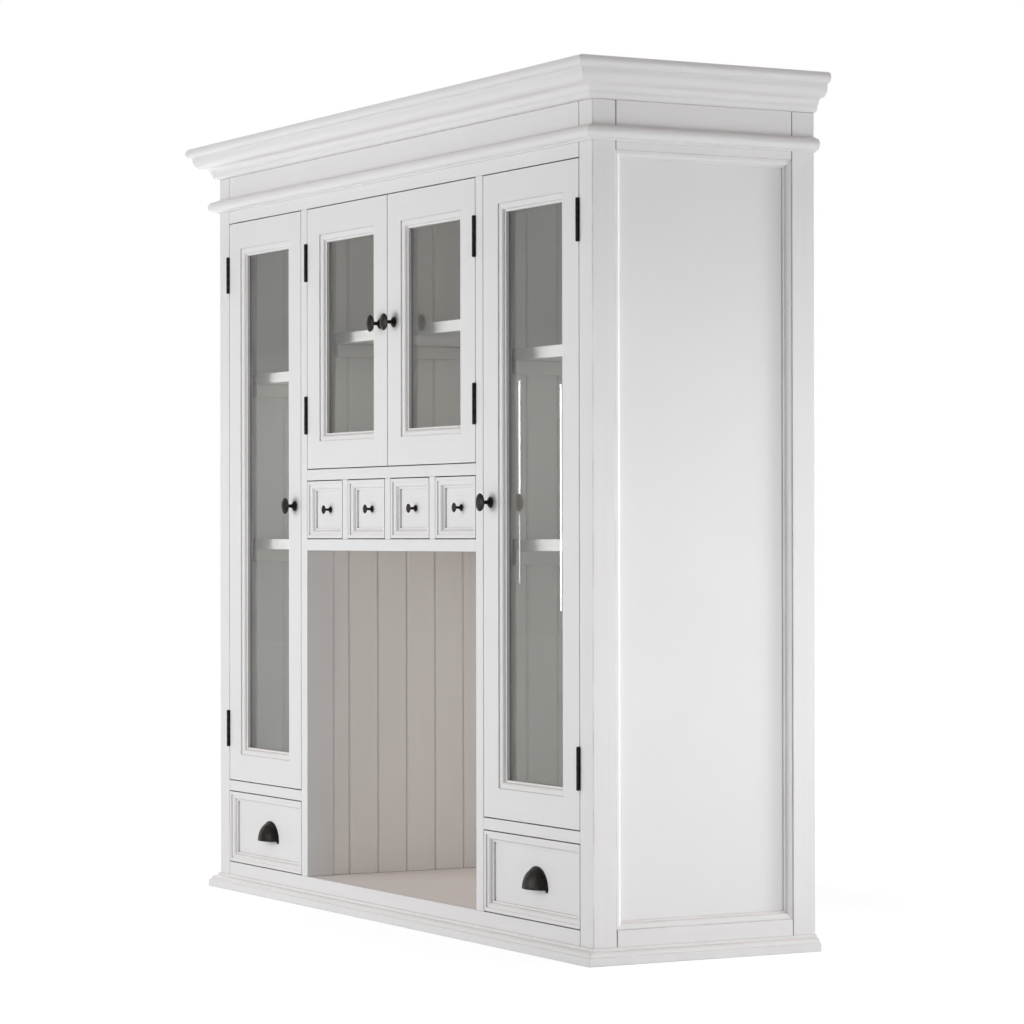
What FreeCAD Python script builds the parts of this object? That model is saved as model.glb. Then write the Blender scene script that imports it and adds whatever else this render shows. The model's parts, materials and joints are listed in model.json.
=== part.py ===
"""Dining hutch: four glazed doors, six drawers and an open niche in a painted timber carcass.

Millimetres. +Z up, +X to the right when facing the front, the front faces -Y.
The origin is on the floor, at the middle of the overall width and depth.
"""
import FreeCAD, Part
import math
import os

from FreeCAD import Vector

X = Vector(1, 0, 0)
Y = Vector(0, 1, 0)
Z = Vector(0, 0, 1)

# Overall size
BODY_W = 1354.0
BODY_D = 392.0
HEIGHT = 1340.0
CORNICE_OUT = 48.0

# Carcass timbers
POST = 40.0
PARTITION_W = 24.0
PARTITION_D = 50.0
RAIL_T = 22.0
BOARD_W = 56.0
FIRST_BOARD = 82.5
PARTITION_BOARD_T = 18.0
BACK_BOARD_W = 98.0
BACK_BOARD_T = 12.0
BACK_INSET = 8.0
VEE = 3.0
PANEL_T = 9.0
PANEL_GROOVE = 6.0
TOP_BOARD_T = 18.0
BOTTOM_BOARD_T = 18.0
SIDE_BOARD_LINES = 119.0
JOINT_LINE_W = 1.2
JOINT_LINE_D = 3.0

# Mouldings round panels and panes
SIDE_MOULD_W = 12.5
SIDE_MOULD_D = 11.0
STEP_D = 2.4
OVOLO_R = 5.5
FILLET_W = 3.0

# Heights on the front
FLOOR_Z = 48.0
SIDE_RAIL_Z = (176.5, 195.0)
LOW_RAIL_Z = (610.0, 629.5)
HIGH_RAIL_Z = (730.3, 749.0)
DOOR_TOP_Z = 1197.5
TOP_RAIL_Z = 1199.0
BODY_TOP_Z = 1282.0
SIDE_PANEL_Z = (50.0, 1208.0)
GAP = 1.5

# Places across the front, measured from the middle
PARTITION_X = 309.0
DIVIDER_W = 20.0
SMALL_DRAWERS = 4

# Shelves: the undersides, then the board itself
TALL_SHELF_Z = (611.0, 910.0)
CENTRE_SHELF_Z = 967.0
SHELF_T = 18.5
SHELF_SETBACK = 57.0
CLEAT_H = 22.0
CLEAT_T = 12.0

# Doors
DOOR_T = 23.0
STILE = 48.0
DOOR_RAIL = 47.0
GLASS_T = 3.0
GLASS_PLAY = 0.5
DOOR_MOULD_W = 13.0
DOOR_MOULD_D = 15.0
REAR_BEAD_W = 9.0
MEETING_GAP = 1.0

# Butt hinges
HINGE_L = 64.0
HINGE_INSET = 60.0
KNUCKLES = 5
KNUCKLE_GAP = 0.3
BARREL_R = 2.6
BARREL_CLEAR = 0.4
PIN_R = 1.2
PIN_PLAY = 0.05
PIN_HEAD_R = 2.0
PIN_HEAD_H = 0.9
LEAF_T = 1.2
LEAF_W = 18.0

# Knobs and pulls
DOOR_KNOB = {"head": 14.2, "out": 23.5, "rosette": 8.8, "neck": 2.9}
SMALL_KNOB = {"head": 7.7, "out": 16.0, "rosette": 5.6, "neck": 2.0}
TALL_KNOB_Z = 687.0
CENTRE_KNOB_Z = 986.0
CUP_HALF_W = 32.0
CUP_OUT = 21.0
CUP_RIM_R = 15.5
CUP_WALL = 2.4
CUP_FLANGE = 2.5
CUP_FLANGE_T = 1.8
CUP_EAR_R = 4.0

# Drawers
FRONT_RIM = 6.0
FRONT_MOULD_W = 17.0
FRONT_MOULD_D = 11.5
FRONT_PANEL_T = 8.0
SMALL_BOX = {"play": 3.25, "wall": 8.0, "lift": 0.7, "top": 17.0, "back": 140.0, "base": 5.0}
LARGE_BOX = {"play": 5.5, "wall": 12.0, "lift": 6.4, "top": 15.0, "back": 170.0, "base": 6.0}
RUNNER_H = 6.0
RUNNER_BACK = 190.0

# Places that follow from the driving sizes
HALF = BODY_W / 2
FRONT = CORNICE_OUT - (BODY_D + CORNICE_OUT) / 2
BACK = FRONT + BODY_D
POST_IN = HALF - POST
FACE_BACK = FRONT + RAIL_T
REAR_POST = BACK - POST
BOARDS_Y = BACK - BACK_INSET - BACK_BOARD_T
PARTITION_OUT = PARTITION_X + PARTITION_W
BOARD_IN = PARTITION_X + (PARTITION_W - PARTITION_BOARD_T) / 2
BOARD_OUT = BOARD_IN + PARTITION_BOARD_T
PANEL_OUT = HALF - SIDE_MOULD_D
PANEL_IN = PANEL_OUT - PANEL_T
SHELF_FRONT = FRONT + SHELF_SETBACK
AXIS_Y = FRONT - BARREL_R - BARREL_CLEAR

TALL_DOOR = {"x": (PARTITION_OUT + GAP, POST_IN - GAP), "z": (SIDE_RAIL_Z[1] + GAP, DOOR_TOP_Z)}
CENTRE_DOOR = {"x": (MEETING_GAP, PARTITION_X - GAP), "z": (HIGH_RAIL_Z[1] + GAP, DOOR_TOP_Z)}
LARGE_FRONT = {"x": TALL_DOOR["x"], "z": (FLOOR_Z + GAP, SIDE_RAIL_Z[0] - GAP)}


# Shape helpers

def box(x0, x1, y0, y1, z0, z1):
    return Part.makeBox(x1 - x0, y1 - y0, z1 - z0, Vector(x0, y0, z0))


def mirrored(shape):
    """The same piece on the other side of the hutch."""
    return shape.mirror(Vector(0, 0, 0), X)


def both_sides(shape):
    return [shape, mirrored(shape)]


def polygon_prism(points, push):
    return Part.Face(Part.makePolygon(points + points[:1])).extrude(push)


def profile_edges(profile, place):
    """Edges of a closed outline. A step is a point, or (centre, point) for an arc of up to a quarter turn."""
    edges = []
    here = profile[0]
    for step in profile[1:] + profile[:1]:
        if isinstance(step[0], tuple):
            centre, there = step
            radius = math.hypot(here[0] - centre[0], here[1] - centre[1])
            lean = math.atan2(here[1] + there[1] - 2 * centre[1], here[0] + there[0] - 2 * centre[0])
            middle = (centre[0] + radius * math.cos(lean), centre[1] + radius * math.sin(lean))
            edges.append(Part.Arc(place(here), place(middle), place(there)).toShape())
        else:
            there = step
            edges.append(Part.LineSegment(place(here), place(there)).toShape())
        here = there
    return edges


def profile_face(profile, place):
    return Part.Face(Part.Wire(profile_edges(profile, place)))


def profile_points(profile):
    return [step[1] if isinstance(step[0], tuple) else step for step in profile]


def strip(profile, start, run, length, u_way, v_way, turns):
    """A moulding along run. An end turns 1 for a mitred inner corner, -1 for an outer one, 0 for square."""
    us = [p[0] for p in profile_points(profile)]
    vs = [p[1] for p in profile_points(profile)]
    spare = max(us) - min(us) + 1
    back_end = start - run * spare
    bar = profile_face(profile, lambda p: back_end + u_way * p[0] + v_way * p[1])
    bar = bar.extrude(run * (length + 2 * spare))
    low, high = min(us) - 1, max(us) + 1
    base = start + v_way * (min(vs) - 20)
    corners = [
        base + run * (turns[0] * low) + u_way * low,
        base + run * (length - turns[1] * low) + u_way * low,
        base + run * (length - turns[1] * high) + u_way * high,
        base + run * (turns[0] * high) + u_way * high,
    ]
    return bar.common(polygon_prism(corners, v_way * (max(vs) - min(vs) + 40))).Solids[0]


def inner_frame(profile, corner, a_way, a_length, b_way, b_length, v_way):
    """Four mitred strips round the inside of a rectangle."""
    far = corner + a_way * a_length + b_way * b_length
    return [
        strip(profile, corner, a_way, a_length, b_way, v_way, (1, 1)),
        strip(profile, corner + a_way * a_length, b_way, b_length, a_way * -1, v_way, (1, 1)),
        strip(profile, far, a_way * -1, a_length, b_way * -1, v_way, (1, 1)),
        strip(profile, corner + b_way * b_length, b_way * -1, b_length, a_way, v_way, (1, 1)),
    ]


def round_three_sides(profile):
    """A moulding round the front and both sides of the body, mitred at the front corners."""
    front = strip(profile, Vector(-HALF, FRONT, 0), X, BODY_W, Y * -1, Z, (-1, -1))
    right = strip(profile, Vector(HALF, FRONT, 0), Y, BODY_D, X, Z, (-1, 0))
    return [front] + both_sides(right)


def grooved_board(low, high, thickness, place, push):
    """A board with a small chamfer on each long edge, so that two boards meet in a V."""
    half = thickness / 2
    outline = [
        (low + VEE, -half), (high - VEE, -half), (high, VEE - half), (high, half - VEE),
        (high - VEE, half), (low + VEE, half), (low, half - VEE), (low, VEE - half),
    ]
    return polygon_prism([place(p) for p in outline], push)


def turned(profile, x, z, y_face):
    """A turned piece standing out of the front. The profile gives radius and distance out."""
    face = profile_face(profile, lambda p: Vector(x + p[0], y_face - p[1], z))
    return face.revolve(Vector(x, y_face, z), Y, 360)


def save(name, shapes):
    shape = shapes[0] if len(shapes) == 1 else Part.makeCompound(shapes)
    shape.exportStep("parts/" + name + ".step")


# Moulding profiles: distance from the wall or frame edge first, then depth or height

def cornice_profile():
    bead_low, bead_out = BODY_TOP_Z, 10.0
    cove_foot = BODY_TOP_Z + 10.0
    cove_r, ovolo_r = 10.0, 16.0
    cove_out = bead_out + 2.0
    ovolo_out = cove_out + cove_r + ovolo_r
    ovolo_top = cove_foot + cove_r + ovolo_r
    nose_r = (HEIGHT - ovolo_top - 5.0) / 2
    nose_out = CORNICE_OUT - nose_r
    seat = BODY_TOP_Z + TOP_BOARD_T
    return [
        (0.0, bead_low), (3.0, bead_low),
        ((3.0, bead_low + 7.0), (bead_out, bead_low + 7.0)),
        (bead_out, cove_foot), (cove_out, cove_foot),
        ((cove_out + cove_r, cove_foot), (cove_out + cove_r, cove_foot + cove_r)),
        ((cove_out + cove_r, ovolo_top), (ovolo_out, ovolo_top)),
        (ovolo_out, HEIGHT - 2 * nose_r), (nose_out, HEIGHT - 2 * nose_r),
        ((nose_out, HEIGHT - nose_r), (CORNICE_OUT, HEIGHT - nose_r)),
        ((nose_out, HEIGHT - nose_r), (nose_out, HEIGHT)),
        (-RAIL_T, HEIGHT), (-RAIL_T, seat), (0.0, seat),
    ]


def necking_profile():
    low, high = 1221.0, 1244.0
    radius = 9.5
    middle = (low + high) / 2
    out = 17.0 - radius
    return [
        (0.0, low), (5.0, low), (5.0, middle - radius), (out, middle - radius),
        ((out, middle), (out + radius, middle)),
        ((out, middle), (out, middle + radius)),
        (5.0, middle + radius), (5.0, high), (0.0, high),
    ]


def base_profile():
    plinth_out, plinth_h = 16.5, 13.0
    ease, ovolo_r = 2.0, 7.5
    ovolo_out = 13.0
    fillet_out, top = 3.5, 25.0
    return [
        (0.0, 0.0), (plinth_out, 0.0), (plinth_out, plinth_h - ease),
        ((plinth_out - ease, plinth_h - ease), (plinth_out - ease, plinth_h)),
        (ovolo_out, plinth_h),
        ((ovolo_out - ovolo_r, plinth_h), (ovolo_out - ovolo_r, plinth_h + ovolo_r)),
        (fillet_out, plinth_h + ovolo_r), (fillet_out, top), (0.0, top),
    ]


def ovolo_moulding(rim, width, depth):
    """Panel moulding: flat rim, a step down, ovolo, fillet and a straight drop at the inner edge."""
    fillet_start = width - FILLET_W
    ovolo_start = fillet_start - OVOLO_R
    foot = STEP_D + OVOLO_R
    face = [(0.0, 0.0), (rim, 0.0)] if rim else []
    return face + [
        (rim, STEP_D), (ovolo_start, STEP_D), ((ovolo_start, foot), (fillet_start, foot)),
        (width, foot), (width, depth), (0.0, depth),
    ]


def rear_bead_profile():
    deep = DOOR_T - DOOR_MOULD_D - GLASS_T
    ease = 3.0
    return [
        (0.0, 0.0), (REAR_BEAD_W, 0.0), (REAR_BEAD_W, deep - ease),
        ((REAR_BEAD_W - ease, deep - ease), (REAR_BEAD_W - ease, deep)), (0.0, deep),
    ]


# Carcass

def hinge_mortises():
    """The beds of the frame-side hinge leaves, for the right half."""
    beds = []
    for door in (TALL_DOOR, CENTRE_DOOR):
        edge = door["x"][1] + GAP
        for low in hinge_places(door):
            beds.append(box(edge, edge + LEAF_T, FRONT, FRONT + LEAF_W, low, low + HINGE_L))
    return beds


def front_posts():
    post = box(POST_IN, HALF, FRONT, FRONT + POST, 0, BODY_TOP_Z)
    groove = box(PANEL_IN, PANEL_OUT, FRONT + POST - PANEL_GROOVE, FRONT + POST,
                 SIDE_PANEL_Z[0] - PANEL_GROOVE, SIDE_PANEL_Z[1] + PANEL_GROOVE)
    post = post.cut([groove] + hinge_mortises())
    return both_sides(post.Solids[0])


def rear_frame():
    post = box(POST_IN, HALF, REAR_POST, BACK, 0, BODY_TOP_Z)
    groove = box(PANEL_IN, PANEL_OUT, REAR_POST, REAR_POST + PANEL_GROOVE,
                 SIDE_PANEL_Z[0] - PANEL_GROOVE, SIDE_PANEL_Z[1] + PANEL_GROOVE)
    bottom = box(-POST_IN, POST_IN, BOARDS_Y, BOARDS_Y + RAIL_T - BACK_INSET, 0, FLOOR_Z)
    top = box(-POST_IN, POST_IN, BOARDS_Y, BOARDS_Y + RAIL_T - BACK_INSET, TOP_RAIL_Z, BODY_TOP_Z)
    return both_sides(post.cut(groove).Solids[0]) + [bottom, top]


def side_frame():
    """Right-hand side rails and the mitred moulding round the panel."""
    y0, y1 = FRONT + POST, REAR_POST
    z0, z1 = SIDE_PANEL_Z
    cuts = [box(PANEL_IN, PANEL_OUT, y0, y1, z0 - PANEL_GROOVE, z1 + PANEL_GROOVE)]
    for y in (y0, y1 - JOINT_LINE_W):
        cuts.append(box(HALF - JOINT_LINE_D, HALF, y, y + JOINT_LINE_W, 0, BODY_TOP_Z))
    bottom = box(HALF - RAIL_T, HALF, y0, y1, 0, z0).cut(cuts)
    top = box(HALF - RAIL_T, HALF, y0, y1, z1, BODY_TOP_Z).cut(cuts)
    profile = ovolo_moulding(0.0, SIDE_MOULD_W, SIDE_MOULD_D)
    mouldings = inner_frame(profile, Vector(HALF, y0, z0), Y, y1 - y0, Z, z1 - z0, X * -1)
    return [bottom.Solids[0], top.Solids[0]] + mouldings


def side_panel():
    """Right-hand panel, flat outside, with V lines between its boards inside."""
    y0, y1 = FRONT + POST - PANEL_GROOVE, REAR_POST + PANEL_GROOVE
    z0, z1 = SIDE_PANEL_Z[0] - PANEL_GROOVE, SIDE_PANEL_Z[1] + PANEL_GROOVE
    panel = box(PANEL_IN, PANEL_OUT, y0, y1, z0, z1)
    line = FRONT + SIDE_BOARD_LINES - BOARD_W
    vees = []
    while line < REAR_POST:
        mouth = [Vector(PANEL_IN, line + side * VEE, z0) for side in (-1, 1)]
        vees.append(polygon_prism(mouth + [Vector(PANEL_IN + VEE, line, z0)], Z * (z1 - z0)))
        line += BOARD_W
    return panel.cut(vees).Solids[0]


def front_rail(z0, z1):
    """A rail between the front posts, with a fine line at each joint."""
    lines = both_sides(box(POST_IN - JOINT_LINE_W, POST_IN, FRONT, FRONT + JOINT_LINE_D, z0, z1))
    return box(-POST_IN, POST_IN, FRONT, FACE_BACK, z0, z1).cut(lines).Solids[0]


def partition_posts():
    post = box(PARTITION_X, PARTITION_OUT, FRONT, FRONT + PARTITION_D, FLOOR_Z, TOP_RAIL_Z)
    return both_sides(post.cut(hinge_mortises()).Solids[0])


def partition_boards():
    """Right-hand partition: vertical boards from its post to the back."""
    middle = (BOARD_IN + BOARD_OUT) / 2
    edges = [FRONT + PARTITION_D, FRONT + FIRST_BOARD]
    while edges[-1] + 1.5 * BOARD_W < BOARDS_Y:
        edges.append(edges[-1] + BOARD_W)
    edges.append(BOARDS_Y)
    return [
        grooved_board(low, high, PARTITION_BOARD_T, lambda p: Vector(middle + p[1], p[0], FLOOR_Z),
                      Z * (BODY_TOP_Z - FLOOR_Z))
        for low, high in zip(edges, edges[1:])
    ]


def back_boards():
    middle = BOARDS_Y + BACK_BOARD_T / 2
    count = round(2 * POST_IN / BACK_BOARD_W)
    width = 2 * POST_IN / count
    return [
        grooved_board(-POST_IN + i * width, -POST_IN + (i + 1) * width, BACK_BOARD_T,
                      lambda p: Vector(p[0], middle + p[1], FLOOR_Z), Z * (TOP_RAIL_Z - FLOOR_Z))
        for i in range(count)
    ]


def bottom_board():
    side = HALF - RAIL_T
    board = box(-side, side, FACE_BACK, BOARDS_Y, FLOOR_Z - BOTTOM_BOARD_T, FLOOR_Z)
    corners = both_sides(box(POST_IN, HALF, FRONT, FRONT + POST, 0, FLOOR_Z))
    corners += both_sides(box(POST_IN, HALF, REAR_POST, BACK, 0, FLOOR_Z))
    return board.cut(corners).Solids[0]


def bay_board(y_front, z0, z1):
    """A board across the right-hand bay, notched round the posts."""
    board = box(BOARD_OUT, PANEL_IN, y_front, BOARDS_Y, z0, z1)
    notches = [
        box(PARTITION_X, PARTITION_OUT, FRONT, FRONT + PARTITION_D, z0, z1),
        box(POST_IN, HALF, FRONT, FRONT + POST, z0, z1),
        box(POST_IN, HALF, REAR_POST, BACK, z0, z1),
    ]
    return board.cut(notches).Solids[0]


def centre_board(y_front, z0, z1):
    """A board across the centre bay, notched round the partition posts."""
    board = box(-BOARD_IN, BOARD_IN, y_front, BOARDS_Y, z0, z1)
    posts = both_sides(box(PARTITION_X, PARTITION_OUT, FRONT, FRONT + PARTITION_D, z0, z1))
    return board.cut(posts).Solids[0]


def face_rails():
    rails = both_sides(box(PARTITION_OUT, POST_IN, FRONT, FACE_BACK, *SIDE_RAIL_Z))
    rails.append(box(-PARTITION_X, PARTITION_X, FRONT, FACE_BACK, *LOW_RAIL_Z))
    rails.append(box(-PARTITION_X, PARTITION_X, FRONT, FACE_BACK, *HIGH_RAIL_Z))
    return rails


def cupboard_floors():
    floors = both_sides(bay_board(FACE_BACK, *SIDE_RAIL_Z))
    floors.append(centre_board(FACE_BACK, *LOW_RAIL_Z))
    floors.append(centre_board(FACE_BACK, *HIGH_RAIL_Z))
    return floors


def small_pitch():
    return (2 * PARTITION_X + DIVIDER_W) / SMALL_DRAWERS


def small_centre(i):
    return (i - (SMALL_DRAWERS - 1) / 2) * small_pitch()


def drawer_dividers():
    half = DIVIDER_W / 2
    places = [small_centre(i) + small_pitch() / 2 for i in range(SMALL_DRAWERS - 1)]
    return [box(x - half, x + half, FRONT, BOARDS_Y, LOW_RAIL_Z[1], HIGH_RAIL_Z[0]) for x in places]


def shelves():
    boards = []
    for z in TALL_SHELF_Z:
        boards += both_sides(bay_board(SHELF_FRONT, z, z + SHELF_T))
    boards.append(centre_board(SHELF_FRONT, CENTRE_SHELF_Z, CENTRE_SHELF_Z + SHELF_T))
    return boards


def shelf_cleats():
    cleats = []
    for z in TALL_SHELF_Z:
        cleats += both_sides(box(BOARD_OUT, BOARD_OUT + CLEAT_T, SHELF_FRONT, BOARDS_Y, z - CLEAT_H, z))
        cleats += both_sides(box(POST_IN, PANEL_IN, SHELF_FRONT, REAR_POST, z - CLEAT_H, z))
    z = CENTRE_SHELF_Z
    cleats += both_sides(box(BOARD_IN - CLEAT_T, BOARD_IN, SHELF_FRONT, BOARDS_Y, z - CLEAT_H, z))
    return cleats


def drawer_runners():
    runners = []
    wall, play = LARGE_BOX["wall"], LARGE_BOX["play"]
    x0, x1 = LARGE_FRONT["x"][0] + play, LARGE_FRONT["x"][1] - play
    for low in (x0, x1 - wall):
        runner = box(low, low + wall, FACE_BACK, RUNNER_BACK, FLOOR_Z, FLOOR_Z + RUNNER_H)
        runners += both_sides(runner)
    return runners


# Hinges, all for the right half: the door hangs on its right edge

def hinge_places(door):
    return (door["z"][0] + HINGE_INSET, door["z"][1] - HINGE_INSET - HINGE_L)


def hinge_axis_x(door):
    return door["x"][1] + GAP / 2


def hinge_leaf(door, low, on_frame):
    """One leaf: a plate let into the timber and every other knuckle of the barrel."""
    x = hinge_axis_x(door)
    edge = door["x"][1]
    plate_x = (edge + GAP, edge + GAP + LEAF_T) if on_frame else (edge - LEAF_T, edge)
    leaf = box(*plate_x, FRONT, FRONT + LEAF_W, low, low + HINGE_L)
    pitch = HINGE_L / KNUCKLES
    pieces = []
    for i in range(0 if on_frame else 1, KNUCKLES, 2):
        z0 = low + i * pitch + KNUCKLE_GAP / 2
        height = pitch - KNUCKLE_GAP
        pieces.append(Part.makeCylinder(BARREL_R, height, Vector(x, AXIS_Y, z0)))
        pieces.append(box(*plate_x, AXIS_Y, FRONT, z0, z0 + height))
    bore_r = PIN_R if on_frame else PIN_R + PIN_PLAY
    bore = Part.makeCylinder(bore_r, HINGE_L + 2, Vector(x, AXIS_Y, low - 1))
    return leaf.fuse(pieces).cut(bore).removeSplitter().Solids[0]


def hinge_pin(door, low):
    x = hinge_axis_x(door)
    ease = 0.5
    foot, top = -PIN_HEAD_H, HINGE_L + PIN_HEAD_H
    profile = [
        (0.0, foot), (PIN_HEAD_R - ease, foot), (PIN_HEAD_R, foot + ease), (PIN_HEAD_R, 0.0),
        (PIN_R, 0.0), (PIN_R, HINGE_L), (PIN_HEAD_R, HINGE_L),
        (PIN_HEAD_R, top - ease), (PIN_HEAD_R - ease, top), (0.0, top),
    ]
    face = profile_face(profile, lambda p: Vector(x + p[0], AXIS_Y, low + p[1]))
    return face.revolve(Vector(x, AXIS_Y, low), Z, 360)


def all_hinges(make):
    pieces = []
    for door in (TALL_DOOR, CENTRE_DOOR):
        for low in hinge_places(door):
            pieces += both_sides(make(door, low))
    return pieces


# Knobs and pulls

def dome_step(here, there):
    """The step of a turned profile along an arc whose centre is on the axis."""
    (r0, h0), (r1, h1) = here, there
    return ((0.0, (r0 ** 2 + h0 ** 2 - r1 ** 2 - h1 ** 2) / (2 * (h0 - h1))), there)


def knob_profile(knob):
    """Turned knob: domed rosette, slim neck and a lens-shaped head."""
    head, out, rosette, neck = knob["head"], knob["out"], knob["rosette"], knob["neck"]
    rosette_edge = (rosette, 0.14 * rosette)
    rosette_top = (1.15 * neck, 0.56 * rosette)
    rim = (head, out - 0.30 * head)
    head_back = (0.93 * head, rim[1] - 0.09 * head)
    collar = (1.7 * neck, head_back[1] - 0.15 * head)
    waist = (neck, 0.4 * rosette_top[1] + 0.6 * collar[1])
    return [
        (0.0, 0.0), (rosette, 0.0), rosette_edge, dome_step(rosette_edge, rosette_top),
        waist, collar, head_back, rim, dome_step(rim, (0.0, out)),
    ]


def cup_profile(inset):
    """Half outline of the dome of a pull: a rim arc and a crown arc that meet smoothly."""
    rim_x = CUP_HALF_W - CUP_RIM_R
    crown_r = (rim_x ** 2 + CUP_OUT ** 2 - CUP_RIM_R ** 2) / (2 * (CUP_OUT - CUP_RIM_R))
    crown_y = CUP_OUT - crown_r
    lean = math.atan2(-crown_y, rim_x)
    meet = ((crown_r - inset) * math.cos(lean), crown_y + (crown_r - inset) * math.sin(lean))
    return [
        (0.0, 0.0), (CUP_HALF_W - inset, 0.0),
        ((rim_x, 0.0), meet), ((0.0, crown_y), (0.0, CUP_OUT - inset)),
    ]


def cup_pull(x, z, y):
    """Bin pull: a hollow dome, open below, on a thin flange with an ear at each lower corner."""
    low = z - CUP_HALF_W / 2
    reach = CUP_HALF_W + CUP_FLANGE
    shown = box(x - reach, x + reach, y - CUP_OUT, y, low, low + reach)
    flange = Part.makeCylinder(reach, CUP_FLANGE_T, Vector(x, y, low), Y * -1)
    dome = turned(cup_profile(0.0), x, low, y).fuse(flange).common(shown)
    ears = [
        Part.makeCylinder(CUP_EAR_R, CUP_FLANGE_T, Vector(x + side * (reach - CUP_EAR_R), y, low), Y * -1)
        for side in (-1, 1)
    ]
    hollow = turned(cup_profile(CUP_WALL), x, low, y)
    return dome.fuse(ears).cut(hollow).removeSplitter().Solids[0]


# Doors, built for the right half

def door_frame(door):
    (x0, x1), (z0, z1) = door["x"], door["z"]
    y0, y1 = FRONT, FRONT + DOOR_T
    beds = [
        box(x1 - LEAF_T, x1, FRONT, FRONT + LEAF_W, low, low + HINGE_L)
        for low in hinge_places(door)
    ]
    return [
        box(x0, x0 + STILE, y0, y1, z0, z1),
        box(x1 - STILE, x1, y0, y1, z0, z1).cut(beds).Solids[0],
        box(x0 + STILE, x1 - STILE, y0, y1, z0, z0 + DOOR_RAIL),
        box(x0 + STILE, x1 - STILE, y0, y1, z1 - DOOR_RAIL, z1),
    ]


def door_opening(door):
    (x0, x1), (z0, z1) = door["x"], door["z"]
    return x0 + STILE, x1 - STILE, z0 + DOOR_RAIL, z1 - DOOR_RAIL


def door_mouldings(door):
    x0, x1, z0, z1 = door_opening(door)
    front = inner_frame(ovolo_moulding(0.0, DOOR_MOULD_W, DOOR_MOULD_D), Vector(x0, FRONT, z0),
                        X, x1 - x0, Z, z1 - z0, Y)
    rear = inner_frame(rear_bead_profile(), Vector(x0, FRONT + DOOR_MOULD_D + GLASS_T, z0),
                       X, x1 - x0, Z, z1 - z0, Y)
    return front + rear


def door_glass(door):
    x0, x1, z0, z1 = door_opening(door)
    play = GLASS_PLAY
    y0 = FRONT + DOOR_MOULD_D
    return box(x0 + play, x1 - play, y0, y0 + GLASS_T, z0 + play, z1 - play)


def door_pieces(door, knob_z):
    knob_x = door["x"][0] + STILE / 2
    return {
        "frame": door_frame(door),
        "mouldings": door_mouldings(door),
        "glass": [door_glass(door)],
        "knob": [turned(knob_profile(DOOR_KNOB), knob_x, knob_z, FRONT)],
        "hinge_leaves": [hinge_leaf(door, low, False) for low in hinge_places(door)],
    }


# Drawers

def drawer_front(x, z):
    """A flat panel with a mitred moulding planted round its face."""
    profile = ovolo_moulding(FRONT_RIM, FRONT_MOULD_W, FRONT_MOULD_D)
    mouldings = inner_frame(profile, Vector(x[0], FRONT, z[0]), X, x[1] - x[0], Z, z[1] - z[0], Y)
    face = FRONT + FRONT_MOULD_D
    return [box(*x, face, face + FRONT_PANEL_T, *z)] + mouldings


def drawer_box(x, z_floor, z_top, sizes):
    """Two sides, a back and a bottom behind the front."""
    wall = sizes["wall"]
    x0, x1 = x[0] + sizes["play"], x[1] - sizes["play"]
    y0, y1 = FRONT + FRONT_MOULD_D + FRONT_PANEL_T, sizes["back"]
    z0, z1 = z_floor + sizes["lift"], z_top - sizes["top"]
    return [
        box(x0, x0 + wall, y0, y1, z0, z1),
        box(x1 - wall, x1, y0, y1, z0, z1),
        box(x0 + wall, x1 - wall, y1 - wall, y1, z0, z1),
        box(x0 + wall, x1 - wall, y0, y1 - wall, z0 + 2, z0 + 2 + sizes["base"]),
    ]


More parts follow.
